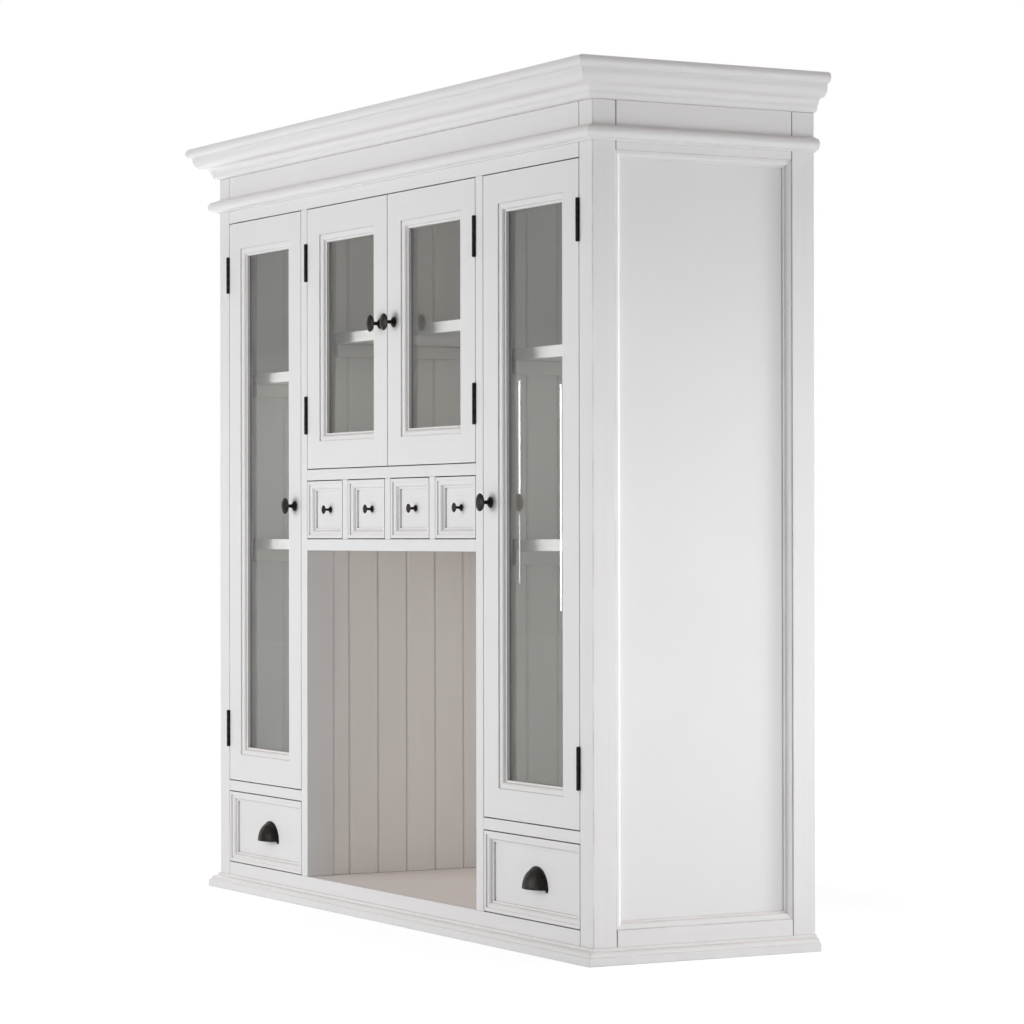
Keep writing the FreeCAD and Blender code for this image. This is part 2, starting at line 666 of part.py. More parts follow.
def build():
    os.makedirs("parts", exist_ok=True)

    save("front_posts", front_posts())
    save("rear_frame", rear_frame())
    right_side = side_frame()
    save("side_frame_right", right_side)
    save("side_frame_left", [mirrored(piece) for piece in right_side])
    save("side_panel_right", [side_panel()])
    save("side_panel_left", [mirrored(side_panel())])
    save("top_rail", [front_rail(TOP_RAIL_Z, BODY_TOP_Z)])
    save("bottom_rail", [front_rail(0, FLOOR_Z)])
    save("partition_posts", partition_posts())
    save("partition_boards_right", partition_boards())
    save("partition_boards_left", [mirrored(board) for board in partition_boards()])
    save("back_boards", back_boards())
    save("bottom_board", [bottom_board()])
    save("top_board", [box(-HALF, HALF, FRONT, BACK, BODY_TOP_Z, BODY_TOP_Z + TOP_BOARD_T)])
    save("cornice", round_three_sides(cornice_profile()))
    save("necking", round_three_sides(necking_profile()))
    save("base_moulding", round_three_sides(base_profile()))
    save("face_rails", face_rails())
    save("cupboard_floors", cupboard_floors())
    save("drawer_dividers", drawer_dividers())
    save("shelves", shelves())
    save("shelf_cleats", shelf_cleats())
    save("drawer_runners", drawer_runners())
    save("hinge_frame_leaves", all_hinges(lambda door, low: hinge_leaf(door, low, True)))
    save("hinge_pins", all_hinges(hinge_pin))

    for door, names, knob_z in (
        (TALL_DOOR, ("door_left", "door_right"), TALL_KNOB_Z),
        (CENTRE_DOOR, ("door_centre_left", "door_centre_right"), CENTRE_KNOB_Z),
    ):
        for piece, shapes in door_pieces(door, knob_z).items():
            save(names[1] + "_" + piece, shapes)
            save(names[0] + "_" + piece, [mirrored(shape) for shape in shapes])

    half_front = (small_pitch() - DIVIDER_W) / 2 - GAP
    small_z = (LOW_RAIL_Z[1] + GAP, HIGH_RAIL_Z[0] - GAP)
    panel_face = FRONT + FRONT_MOULD_D
    for i in range(SMALL_DRAWERS):
        x = small_centre(i)
        span = (x - half_front, x + half_front)
        name = "small_drawer_" + str(i + 1)
        save(name, drawer_front(span, small_z) + drawer_box(span, LOW_RAIL_Z[1], small_z[1], SMALL_BOX))
        save(name + "_knob", [turned(knob_profile(SMALL_KNOB), x, sum(small_z) / 2, panel_face)])

    x, z = LARGE_FRONT["x"], LARGE_FRONT["z"]
    large = {
        "front": drawer_front(x, z),
        "box": drawer_box(x, FLOOR_Z, z[1], LARGE_BOX),
        "pull": [cup_pull(sum(x) / 2, sum(z) / 2, panel_face)],
    }
    for piece, shapes in large.items():
        save("side_drawer_right_" + piece, shapes)
        save("side_drawer_left_" + piece, [mirrored(shape) for shape in shapes])


build()
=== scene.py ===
"""Dining hutch: eased timber, paint, glass, ironwork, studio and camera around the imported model.

Metres. +Z up, +X to the right when facing the front, the front faces -Y.
"""

import json
import math

import bmesh
import bpy
from mathutils import Matrix, Vector

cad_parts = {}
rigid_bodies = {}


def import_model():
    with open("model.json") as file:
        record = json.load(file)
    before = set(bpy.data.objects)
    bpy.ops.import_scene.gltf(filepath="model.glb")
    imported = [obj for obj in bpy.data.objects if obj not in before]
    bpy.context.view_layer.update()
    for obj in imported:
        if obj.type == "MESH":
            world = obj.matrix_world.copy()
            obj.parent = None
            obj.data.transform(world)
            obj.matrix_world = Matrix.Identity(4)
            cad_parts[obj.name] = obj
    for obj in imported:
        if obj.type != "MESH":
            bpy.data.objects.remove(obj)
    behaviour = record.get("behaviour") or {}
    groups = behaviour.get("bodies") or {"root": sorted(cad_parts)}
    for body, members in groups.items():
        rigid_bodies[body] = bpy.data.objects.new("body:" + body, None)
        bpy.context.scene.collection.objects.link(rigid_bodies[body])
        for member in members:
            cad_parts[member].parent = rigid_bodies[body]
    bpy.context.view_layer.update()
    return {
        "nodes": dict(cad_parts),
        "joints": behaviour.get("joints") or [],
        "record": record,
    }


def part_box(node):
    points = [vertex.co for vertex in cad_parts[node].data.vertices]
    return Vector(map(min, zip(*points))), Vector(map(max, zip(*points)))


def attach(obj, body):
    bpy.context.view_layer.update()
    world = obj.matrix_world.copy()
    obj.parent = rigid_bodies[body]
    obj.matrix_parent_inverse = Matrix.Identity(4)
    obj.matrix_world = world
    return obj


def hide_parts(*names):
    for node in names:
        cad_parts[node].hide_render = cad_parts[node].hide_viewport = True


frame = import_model()
NODES = frame["nodes"]
BODY_OF = {node: body for body, nodes in frame["record"]["behaviour"]["bodies"].items() for node in nodes}
SLOT_OF = {part["node"]: part["material_slot"] for part in frame["record"]["subparts"]}

# Eased edges
BOARD_EASE = 0.0009
MOULDING_EASE = 0.0004
IRON_EASE = 0.00025
EASE_STEPS = 2
SHARP_TURN = math.radians(28)
FLAT_TURN = math.radians(0.5)
SAME_PLACE = 1e-6

# Timber: how fine the grain is across the wood and along it
PAINTED_GRAIN = (330.0, 5.0)
BARE_GRAIN = (260.0, 6.0)
FRONT_TO_BACK = 1
BARE_TONES = ((0.50, 0.35, 0.22, 1), (0.36, 0.24, 0.14, 1))
BARE_ROUGHNESS = (0.5, 0.65)

# Paint: plain, in the grain, aged
OUTSIDE_TONES = ((0.815, 0.804, 0.81, 1), (0.785, 0.772, 0.777, 1), (0.77, 0.755, 0.757, 1))
# The inside paint is a warmer white. It is also lighter than the outside paint, as painted light for the
# niche and cupboards.
INSIDE_TONES = ((0.90, 0.875, 0.855, 1), (0.875, 0.845, 0.82, 1), (0.85, 0.82, 0.79, 1))
AGED_SHARE = 0.35
PAINT_ROUGHNESS = (0.36, 0.48)
PAINT_GLOSS = 0.4
PAINT_RELIEF = {"Strength": 0.25, "Distance": 0.0002}

# Painted shade in gaps and along the panes' upright edges, a warm tint on slopes that face up, and wear on
# the paint
# Painted shade: the dark colour mixed into gaps and slots, how much of it, and how far from a gap it reaches
GAP_SHADE_TONE = (0.10, 0.085, 0.075, 1)
GAP_SHADE_SHARE = 0.9
GAP_SHADE_REACH = 0.006
RUBBED = (0.36, 0.29, 0.24, 1)
RUBBED_W = 0.002
RUBBED_BREAKS = 14.0
# A warmer tone on slopes that face up
UPWARD_TINT = (0.89, 0.785, 0.735, 1)
UPWARD_TINT_SHARE = 0.6
# Painted shade: a dark line along the upright edges of the panes
PANE_EDGE_SHADE_TONE = (0.02, 0.02, 0.018, 1)
PANE_EDGE_SHADE_SHARE = 0.9

# Where the masks of the effects start and where they are full
NOISE_MIDDLE = (0.3, 0.7)
EDGE_AGREEMENT = (0.97, 0.78)
EDGE_PATCHES = (0.38, 0.58)
GAP_OPENNESS = (0.46, 0.12)
FACING_UP = (0.3, 0.9)
UPWARD_TINT_PATCHES = (0.3, 0.65)
UPWARD_TINT_LEVELS = (0.55, 1.0)
FACING_SIDEWAYS = (0.6, 0.8)
PANE_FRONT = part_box("door_left_glass")[0].y
LINE_STARTS = (PANE_FRONT - 0.0024, PANE_FRONT - 0.0008)
LINE_ENDS = (PANE_FRONT + 0.0006, PANE_FRONT + 0.0002)
EFFECT_SAMPLES = 6

# Iron: plain, mottled, rusty, rubbed
IRON_TONES = (
    (0.006, 0.0055, 0.005, 1),
    (0.013, 0.010, 0.009, 1),
    (0.05, 0.03, 0.021, 1),
    (0.10, 0.062, 0.043, 1),
)
IRON_MOTTLE = (0.35, 0.65)
IRON_RUST = (0.48, 0.72)
IRON_RUST_LEVELS = (0.0, 0.5)
IRON_RUBBED_SHARE = 0.6
IRON_RUBBED_W = 0.0008
IRON_RUBBED_BREAKS = 220.0
IRON_ROUGHNESS = (0.26, 0.44)
IRON_GLOSS = 0.12
IRON_RELIEF = {"Strength": 0.8, "Distance": 0.0014}

# Glass
GLASS_TONE = (0.915, 0.922, 0.902, 1)
GLASS_SHADOW_TONE = (0.96, 0.97, 0.955, 1)
GLASS_IOR = 1.46

# Screws in the hinge leaves
SCREW_R = 0.0026
SCREW_PROUD = 0.00025
SCREW_TAPER = 0.86
SCREW_SLOT = 0.0008
SCREW_STEPS = 10
SCREW_SPREAD = 0.022
MIDDLE_SCREW_BACK = 0.0035
OUTER_SCREW_FORWARD = 0.0014
SLOT_LEAN = 0.6
HINGE_L = 0.064
LEAF_W = 0.018
LEAF_GAP = 0.0015

# Pins in the ears of the cup pulls
PIN_R = 0.0017
PIN_SQUASH = 0.6
PIN_SEGMENTS = 20
PIN_RINGS = 10
EAR_R = 0.004
FLANGE_T = 0.0018

# Camera, fitted to the straight edges of the photograph
CAMERA_PLACE = (5.15809, -2.7576, 0.63576)
CAMERA_TURN = (90.38, 0.09, 61.34)
CAMERA_LENS = 123.087
CAMERA_REACH = 100.0
SENSOR_W = 36.0

# Studio
WHITE = (1, 1, 1, 1)
AMBIENT = 0.275
FLOOR_HALF_W = 14.0
FLOOR_TONE = (0.8, 0.8, 0.8, 1)
FLOOR_VEIL = (0.6, 0.6, 0.6, 1)
FLOOR_ROUGHNESS = 0.9
FLOOR_DISTANCES = (0.7, 1.6)
FLOOR_GLOWS = (0.66, 0.86)

# Card and strips that the panes mirror
CARD_RIGHT_END = (-0.6, -1.22)
CARD_LEFT_END = (-3.4, -0.85)
CARD_H = 2.4
CARD_TONE = (0.925, 1.0, 0.945, 1)
CARD_FADE_X = (-1.5, -2.1)
CARD_LOW_GLOWS = (0.48, 0.70)
CARD_HIGH_GLOWS = (0.12, 0.28)
CARD_RISE_Z = (0.99, 1.08)
CARD_BRIGHT_X = (-1.46, -1.37)
CARD_BRIGHT_GLOWS = (0.0, 0.42)
STRIP_BLUE = (0.8, 0.93, 1.0, 1)
LEFT_STRIP_Y = -0.6385
RIGHT_STRIP_Y = -0.6485


# Objects

def in_scene(name, data):
    """A new object in the scene."""
    made = bpy.data.objects.new(name, data)
    bpy.context.scene.collection.objects.link(made)
    return made


def mesh_in_scene(name, bm):
    """Turns a mesh in the making into an object in the scene."""
    mesh = bpy.data.meshes.new(name)
    bm.to_mesh(mesh)
    bm.free()
    return in_scene(name, mesh)


# Nodes

def feed(tree, node, inputs):
    """Fills a node's inputs, each with a value or from the socket that feeds it."""
    for name, value in inputs.items():
        if isinstance(value, bpy.types.NodeSocket):
            tree.links.new(value, node.inputs[name])
        else:
            node.inputs[name].default_value = value


def add(tree, kind, inputs=None, **settings):
    """A new node with its settings and inputs."""
    made = tree.nodes.new(kind)
    for name, value in settings.items():
        setattr(made, name, value)
    feed(tree, made, inputs or {})
    return made


def mix_value(tree, share, first, second):
    """The Mix node has its values at sockets 2 and 3."""
    return add(tree, "ShaderNodeMix", {0: share, 2: first, 3: second}).outputs[0]


def mix_colour(tree, share, first, second):
    """The Mix node has its colours at sockets 6 and 7."""
    return add(tree, "ShaderNodeMix", {0: share, 6: first, 7: second}, data_type="RGBA").outputs[2]


def mix_shader(tree, share, first, second):
    return add(tree, "ShaderNodeMixShader", {0: share, 1: first, 2: second}).outputs[0]


def maths(tree, operation, first, second=0.0):
    return add(tree, "ShaderNodeMath", {0: first, 1: second}, operation=operation).outputs[0]


def ramped(tree, value, span, levels=(0.0, 1.0)):
    """Turns a value that goes over a span into one that goes from one level to the other."""
    ends = {"From Min": span[0], "From Max": span[1], "To Min": levels[0], "To Max": levels[1]}
    return add(tree, "ShaderNodeMapRange", {"Value": value, **ends}).outputs["Result"]


def noise(tree, place, scale, detail, roughness=0.5):
    inputs = {"Vector": place, "Scale": scale, "Detail": detail, "Roughness": roughness}
    return add(tree, "ShaderNodeTexNoise", inputs).outputs[0]


def part_of(tree, vector, axis):
    return add(tree, "ShaderNodeSeparateXYZ", {0: vector}).outputs[axis]


def surface_normal(tree):
    return add(tree, "ShaderNodeNewGeometry").outputs["Normal"]


def place_on_piece(tree):
    return add(tree, "ShaderNodeTexCoord").outputs["Object"]


def glowing(tree, colour, strength):
    return add(tree, "ShaderNodeEmission", {"Color": colour, "Strength": strength}).outputs[0]


def show(tree, shader, output="Material Output"):
    tree.links.new(shader, tree.nodes[output].inputs["Surface"])


def new_group(name, inputs, outputs):
    """An empty shader node group with named sockets, and what it is given and puts out."""
    tree = bpy.data.node_groups.new(name, "ShaderNodeTree")
    for socket, kind in inputs.items():
        tree.interface.new_socket(name=socket, in_out="INPUT", socket_type=kind)
    for socket, kind in outputs.items():
        tree.interface.new_socket(name=socket, in_out="OUTPUT", socket_type=kind)
    return tree, tree.nodes.new("NodeGroupInput").outputs, tree.nodes.new("NodeGroupOutput").inputs


def use_group(tree, group, inputs):
    return add(tree, "ShaderNodeGroup", inputs, node_tree=group).outputs


def new_material(name):
    material = bpy.data.materials.new(name)
    material.use_nodes = True
    return material, material.node_tree


def principled(tree, inputs):
    """The material's own shader with its inputs."""
    shader = tree.nodes["Principled BSDF"]
    feed(tree, shader, inputs)
    return shader.outputs[0]


def relief(tree, height, depth):
    return add(tree, "ShaderNodeBump", {"Height": height, **depth}).outputs[0]


# Effects that more than one finish uses

def grain_group():
    """Streaks along the timber, and broad soft patches."""
    tree, given, out = new_group(
        "timber_grain",
        {"Place": "NodeSocketVector", "Stretch": "NodeSocketVector"},
        {"Streaks": "NodeSocketFloat", "Patches": "NodeSocketFloat"},
    )
    drawn = add(tree, "ShaderNodeVectorMath", {0: given["Place"], 1: given["Stretch"]}, operation="MULTIPLY")
    fine = noise(tree, drawn.outputs[0], scale=1.0, detail=5.0, roughness=0.65)
    broad = noise(tree, given["Place"], scale=7.0, detail=3.0)
    tree.links.new(ramped(tree, fine, NOISE_MIDDLE), out["Streaks"])
    tree.links.new(ramped(tree, broad, NOISE_MIDDLE), out["Patches"])
    return tree


def worn_edge_group():
    """Where an arris or a quirk is, broken up along its length."""
    tree, given, out = new_group(
        "worn_edge",
        {"Place": "NodeSocketVector", "Width": "NodeSocketFloat", "Breaks": "NodeSocketFloat"},
        {"Mask": "NodeSocketFloat"},
    )
    rounded = add(tree, "ShaderNodeBevel", {"Radius": given["Width"]}, samples=EFFECT_SAMPLES).outputs[0]
    both = {0: rounded, 1: surface_normal(tree)}
    agreement = add(tree, "ShaderNodeVectorMath", both, operation="DOT_PRODUCT").outputs["Value"]
    edge = ramped(tree, agreement, EDGE_AGREEMENT)
    patchy = ramped(tree, noise(tree, given["Place"], scale=given["Breaks"], detail=4.0), EDGE_PATCHES)
    tree.links.new(maths(tree, "MULTIPLY", edge, patchy), out["Mask"])
    return tree


def gap_shade_group():
    """Painted shade in gaps and narrow slots: a mask that is full where little of the sky is open."""
    tree, given, out = new_group("painted_gap_shade", {"Reach": "NodeSocketFloat"}, {"Mask": "NodeSocketFloat"})
    sky = add(tree, "ShaderNodeAmbientOcclusion", {"Distance": given["Reach"]}, samples=EFFECT_SAMPLES)
    tree.links.new(ramped(tree, sky.outputs["AO"], GAP_OPENNESS), out["Mask"])
    return tree


def upward_tint_group():
    """A warmer tone on slopes that face up, in patches."""
    tree, given, out = new_group("upward_tint", {"Place": "NodeSocketVector"}, {"Mask": "NodeSocketFloat"})
    up = ramped(tree, part_of(tree, surface_normal(tree), "Z"), FACING_UP)
    patchy = ramped(tree, noise(tree, given["Place"], scale=9.0, detail=4.0), UPWARD_TINT_PATCHES, UPWARD_TINT_LEVELS)
    tree.links.new(maths(tree, "MULTIPLY", up, patchy), out["Mask"])
    return tree


def pane_edge_shade_group():
    """Painted shade: a dark line where an upright moulding meets the front of the pane, on a closed or an
    open door.
    """
    tree, given, out = new_group("painted_pane_edge_shade", {"Place": "NodeSocketVector"}, {"Mask": "NodeSocketFloat"})
    depth = part_of(tree, given["Place"], "Y")
    facing = add(tree, "ShaderNodeTexCoord").outputs["Normal"]
    sideways = maths(tree, "ABSOLUTE", part_of(tree, facing, "X"))
    upright = ramped(tree, sideways, FACING_SIDEWAYS)
    line = maths(tree, "MULTIPLY", ramped(tree, depth, LINE_STARTS), ramped(tree, depth, LINE_ENDS))
    tree.links.new(maths(tree, "MULTIPLY", upright, line), out["Mask"])
    return tree


GRAIN = grain_group()
WORN_EDGE = worn_edge_group()
GAP_SHADE_GROUP = gap_shade_group()
UPWARD_TINT_GROUP = upward_tint_group()
PANE_EDGE_SHADE = pane_edge_shade_group()


# Finishes

def grain_along(tree, place, fineness, along):
    """The grain of timber whose length is along one axis."""
    stretch = [fineness[0]] * 3
    stretch[along] = fineness[1]
    return use_group(tree, GRAIN, {"Place": place, "Stretch": stretch})


def painted(name, along, tones, wear, grain=1.0, round_pane=False, edge=RUBBED_W, glaze=GAP_SHADE_SHARE):
    """Satin white paint over timber whose grain runs along one axis. The tones: plain, in the grain, aged."""
    material, tree = new_material(name)
    place = place_on_piece(tree)
    timber = grain_along(tree, place, PAINTED_GRAIN, along)
    streaks = maths(tree, "MULTIPLY", timber["Streaks"], grain)
    upward_tint = use_group(tree, UPWARD_TINT_GROUP, {"Place": place})
    # painted shade in gaps and slots
    painted_gap_shade = use_group(tree, GAP_SHADE_GROUP, {"Reach": GAP_SHADE_REACH})
    worn = use_group(tree, WORN_EDGE, {"Place": place, "Width": edge, "Breaks": RUBBED_BREAKS})
    layers = [
        (timber["Patches"], AGED_SHARE, tones[2]),
        (upward_tint["Mask"], UPWARD_TINT_SHARE, UPWARD_TINT),
        (painted_gap_shade["Mask"], glaze, GAP_SHADE_TONE),
        (worn["Mask"], wear, RUBBED),
    ]
    if round_pane:
        # painted shade where the upright mouldings meet the pane
        line = use_group(tree, PANE_EDGE_SHADE, {"Place": place})
        layers.append((line["Mask"], PANE_EDGE_SHADE_SHARE, PANE_EDGE_SHADE_TONE))
    colour = mix_colour(tree, streaks, tones[0], tones[1])
    for mask, share, tone in layers:
        colour = mix_colour(tree, maths(tree, "MULTIPLY", mask, share), colour, tone)
    principled(tree, {
        "Base Color": colour,
        "Roughness": ramped(tree, streaks, (0.0, 1.0), PAINT_ROUGHNESS),
        "Normal": relief(tree, streaks, PAINT_RELIEF),
        "Specular IOR Level": PAINT_GLOSS,
    })
    return material


def pane_glass():
    """Clear, faintly green glass that lets the lamps through to the shelves."""
    material, tree = new_material("pane_glass")
    glass = principled(tree, {
        "Base Color": GLASS_TONE,
        "Roughness": 0.0,
        "IOR": GLASS_IOR,
        "Transmission Weight": 1.0,
    })
    clear = add(tree, "ShaderNodeBsdfTransparent", {"Color": GLASS_SHADOW_TONE}).outputs[0]
    shadow = add(tree, "ShaderNodeLightPath").outputs["Is Shadow Ray"]
    show(tree, mix_shader(tree, shadow, glass, clear))
    return material


def dark_iron():
    """Blackened iron with rusty patches, rubbed brown on its edges."""
    material, tree = new_material("dark_iron")
    place = place_on_piece(tree)
    plain, mottled, rusty, rubbed = IRON_TONES
    worn = use_group(tree, WORN_EDGE, {"Place": place, "Width": IRON_RUBBED_W, "Breaks": IRON_RUBBED_BREAKS})
    fine = noise(tree, place, scale=140.0, detail=5.0)
    broad = noise(tree, place, scale=90.0, detail=3.0)
    colour = mix_colour(tree, ramped(tree, fine, IRON_MOTTLE), plain, mottled)
    colour = mix_colour(tree, ramped(tree, broad, IRON_RUST, IRON_RUST_LEVELS), colour, rusty)
    colour = mix_colour(tree, maths(tree, "MULTIPLY", worn["Mask"], IRON_RUBBED_SHARE), colour, rubbed)
    principled(tree, {
        "Base Color": colour,
        "Roughness": ramped(tree, fine, NOISE_MIDDLE, IRON_ROUGHNESS),
        "Normal": relief(tree, fine, IRON_RELIEF),
        "Specular IOR Level": IRON_GLOSS,
    })
    return material


def bare_wood():
    """Unpainted timber whose grain runs from the front to the back."""
    material, tree = new_material("bare_wood")
    timber = grain_along(tree, place_on_piece(tree), BARE_GRAIN, FRONT_TO_BACK)
    principled(tree, {
        "Base Color": mix_colour(tree, timber["Streaks"], *BARE_TONES),
        "Roughness": ramped(tree, timber["Patches"], (0.0, 1.0), BARE_ROUGHNESS),
    })
    return material


def three_ways(name, tones, **finish):
    """The same paint with the grain along each axis."""
    return [painted(name + "_along_" + axis, i, tones, **finish) for i, axis in enumerate("xyz")]


FRAME_PAINT = three_ways("frame_paint", OUTSIDE_TONES, wear=0.8)
POST_PAINT = three_ways("post_paint", OUTSIDE_TONES, wear=0.85, edge=0.0045)
MOULDING_PAINT = three_ways("moulding_paint", OUTSIDE_TONES, wear=0.1)
# Paint round the panes, with painted shade along their upright edges.
ROUND_PANES = three_ways("paint_round_panes", OUTSIDE_TONES, wear=0.1, round_pane=True)
PANEL_PAINT = three_ways("panel_paint", OUTSIDE_TONES, wear=0.1, grain=0.15)
# The cornice and the inside boards take less painted shade in their gaps.
CORNICE_PAINT = three_ways("cornice_paint", OUTSIDE_TONES, wear=0.1, glaze=0.2)
INSIDE_PAINT = three_ways("inside_paint", INSIDE_TONES, wear=0.25, glaze=0.45)
GLASS = pane_glass()
IRON = dark_iron()
BARE_WOOD = bare_wood()


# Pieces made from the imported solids, with eased edges

def solids_of(mesh):
    """The faces of each closed solid, as corner places. In the mesh the solids follow one another."""
    places = [tuple(round(c, 7) for c in vertex.co) for vertex in mesh.vertices]
    solids, faces, unmatched = [], [], set()
    for polygon in mesh.polygons:
        corners = [places[i] for i in polygon.vertices]
        faces.append(corners)
        for edge in zip(corners, corners[1:] + corners[:1]):
            if edge[::-1] in unmatched:
                unmatched.remove(edge[::-1])
            else:
                unmatched.add(edge)
        if not unmatched:
            solids.append(faces)
            faces = []
    if faces:
        solids.append(faces)
    return solids


def longest_axis(places):
    spans = [max(p[i] for p in places) - min(p[i] for p in places) for i in range(3)]
    return spans.index(max(spans))


def solid_mesh(faces, materials):
    """One solid as a mesh. Of three materials it takes the one whose grain follows its length."""
    places = sorted({place for face in faces for place in face})
    index = {place: i for i, place in enumerate(places)}
    whole = [[index[place] for place in face] for face in faces if len(set(face)) == len(face)]
    mesh = bpy.data.meshes.new("solid")
    mesh.from_pydata(places, [], whole)
    for material in materials:
        mesh.materials.append(material)
    finish = longest_axis(places) if len(materials) == 3 else 0
    mesh.polygons.foreach_set("material_index", [finish] * len(mesh.polygons))
    return mesh


def joined(meshes):
    """Touching solids made into one, as where stiles and rails are glued and painted over."""
    parts = [in_scene("part", mesh) for mesh in meshes]
    for other in parts[1:]:
        union = parts[0].modifiers.new("join", "BOOLEAN")
        union.operation = "UNION"
        union.object = other
    bpy.context.view_layer.update()
    ready = parts[0].evaluated_get(bpy.context.evaluated_depsgraph_get())
    whole = bpy.data.meshes.new_from_object(ready)
    for part in parts:
        bpy.data.objects.remove(part)
    for mesh in meshes:
        bpy.data.meshes.remove(mesh)
    return whole


def add_eased(whole, mesh, ease):
    """Adds a solid to the whole, with its flat faces in one piece and its sharp edges rounded over."""
    bm = bmesh.new()
    bm.from_mesh(mesh)
    bmesh.ops.remove_doubles(bm, verts=bm.verts, dist=SAME_PLACE)
    bmesh.ops.dissolve_limit(bm, angle_limit=FLAT_TURN, verts=bm.verts, edges=bm.edges, delimit={"MATERIAL"})
    sharp = [edge for edge in bm.edges if len(edge.link_faces) == 2 and edge.calc_face_angle() > SHARP_TURN]
    bmesh.ops.bevel(
        bm, geom=sharp, offset=ease, segments=EASE_STEPS, profile=0.5, affect="EDGES", clamp_overlap=True)
    bm.to_mesh(mesh)
    bm.free()
    whole.from_mesh(mesh)
    bpy.data.meshes.remove(mesh)


def finished(name, bm, materials, body):
    """Turns a mesh in the making into a piece that rides on a body."""
    piece = mesh_in_scene(name, bm)
    for material in materials:
        piece.data.materials.append(material)
    piece.data.shade_smooth()
    even = piece.modifiers.new("even_shading", "WEIGHTED_NORMAL")
    even.keep_sharp = True
    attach(piece, body)
    return piece


def dress(node, ease, materials):
    """Puts the node with eased edges in its place. The joints of a door's frame don't show."""
    meshes = [solid_mesh(faces, materials) for faces in solids_of(NODES[node].data)]
    if node.startswith("door_") and node.endswith("_frame"):
        meshes = [joined(meshes)]
    whole = bmesh.new()
    for mesh in meshes:
        add_eased(whole, mesh, ease)
    piece = finished(node + "_dressed", whole, materials, BODY_OF[node])
    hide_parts(node)


def is_moulded(node):
    ends = ("_mouldings", "_front", "cornice", "necking", "base_moulding")
    return node.endswith(ends) or node.startswith(("side_frame", "small_drawer"))


def paints(node):
    """The node's paint, three ways."""
    if node.startswith("door_") and node.endswith("_mouldings"):
        return ROUND_PANES
    if node.startswith("side_panel"):
        return PANEL_PAINT
    if "board" in node or node == "shelf_cleats":
        return INSIDE_PAINT
    if node == "front_posts":
        return POST_PAINT
    if node == "cornice":
        return CORNICE_PAINT
    if is_moulded(node) and not node.startswith("side_frame"):
        return MOULDING_PAINT
    return FRAME_PAINT


for node, slot in SLOT_OF.items():
    if slot == "white_paint":
        dress(node, MOULDING_EASE if is_moulded(node) else BOARD_EASE, paints(node))
    elif slot == "dark_iron":
        dress(node, IRON_EASE, [IRON])
    elif slot == "bare_wood":
        dress(node, BOARD_EASE, [BARE_WOOD])
    else:
        NODES[node].data.materials.clear()
        NODES[node].data.materials.append(GLASS)


# Fasteners

def slotted_head(bm, centre, normal, slot_way):
    """A countersunk screw head: two half discs, a little proud, with the slot between them."""
    side_way = normal.cross(slot_way)
    start = math.asin(SCREW_SLOT / 2 / SCREW_R)
    sweep = math.pi - 2 * start
    for turn in (1, -1):
        rim = []
        for i in range(SCREW_STEPS + 1):
            angle = start + sweep * i / SCREW_STEPS
            rim.append(slot_way * (SCREW_R * math.cos(angle)) + side_way * (turn * SCREW_R * math.sin(angle)))
        low = [bm.verts.new(centre + p) for p in rim]
        high = [bm.verts.new(centre + p * SCREW_TAPER + normal * SCREW_PROUD) for p in rim]
        for i in range(len(rim)):
            j = (i + 1) % len(rim)
            bm.faces.new((low[i], low[j], high[j], high[i]))
        bm.faces.new(high)


def domed_pin(bm, centre, normal):
    made = bmesh.ops.create_uvsphere(bm, u_segments=PIN_SEGMENTS, v_segments=PIN_RINGS, radius=PIN_R)
    turn = normal.to_track_quat("Z", "Y").to_matrix().to_4x4()
    squash = Matrix.Diagonal((1, 1, PIN_SQUASH, 1))
    bmesh.ops.transform(bm, matrix=Matrix.Translation(centre) @ turn @ squash, verts=made["verts"])


def hinge_screws(joint):
    """Three screws in each leaf of one door's two hinges, on the door and on the frame."""
    door = joint["child"]
    axis = Vector(joint["pos_m"])
    outward = 1 if axis.x > 0 else -1
    low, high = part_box(door + "_hinge_leaves")
    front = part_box(door + "_frame")[0].y
    on_door, on_frame = bmesh.new(), bmesh.new()
    for middle in (low.z + HINGE_L / 2, high.z - HINGE_L / 2):
        for i in (-1, 0, 1):
            y = front + LEAF_W / 2 + (MIDDLE_SCREW_BACK if i == 0 else -OUTER_SCREW_FORWARD)
            z = middle + i * SCREW_SPREAD
            lean = Vector((0, math.cos(i + SLOT_LEAN), math.sin(i + SLOT_LEAN)))
            for bm, way in ((on_door, outward), (on_frame, -outward)):
                face_x = axis.x - way * LEAF_GAP / 2
                slotted_head(bm, Vector((face_x, y, z)), Vector((way, 0, 0)), lean)
    finished(door + "_hinge_screws", on_door, [IRON], door)
    finished(door + "_frame_screws", on_frame, [IRON], joint["parent"])


def pull_pins(drawer):
    """A domed pin in each ear of a drawer's cup pull."""
    low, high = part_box(drawer + "_pull")
    bm = bmesh.new()
    for x in (low.x + EAR_R, high.x - EAR_R):
        domed_pin(bm, Vector((x, high.y - FLANGE_T, low.z + EAR_R)), Vector((0, -1, 0)))
    finished(drawer + "_pull_pins", bm, [IRON], drawer)


for joint in frame["joints"]:
    if joint["type"] == "hinge":
        hinge_screws(joint)
for drawer in ("side_drawer_left", "side_drawer_right"):
    pull_pins(drawer)


# Studio

def seen_directly(tree):
    """One for rays that show the background itself: to the camera, in a reflection or through glass."""
    path = add(tree, "ShaderNodeLightPath").outputs
    mirrored = maths(tree, "MAXIMUM", path["Is Glossy Ray"], path["Is Transmission Ray"])
    seen = maths(tree, "MAXIMUM", path["Is Camera Ray"], mirrored)
    not_bounced = maths(tree, "LESS_THAN", path["Diffuse Depth"], 0.5)
    return maths(tree, "MULTIPLY", seen, not_bounced)


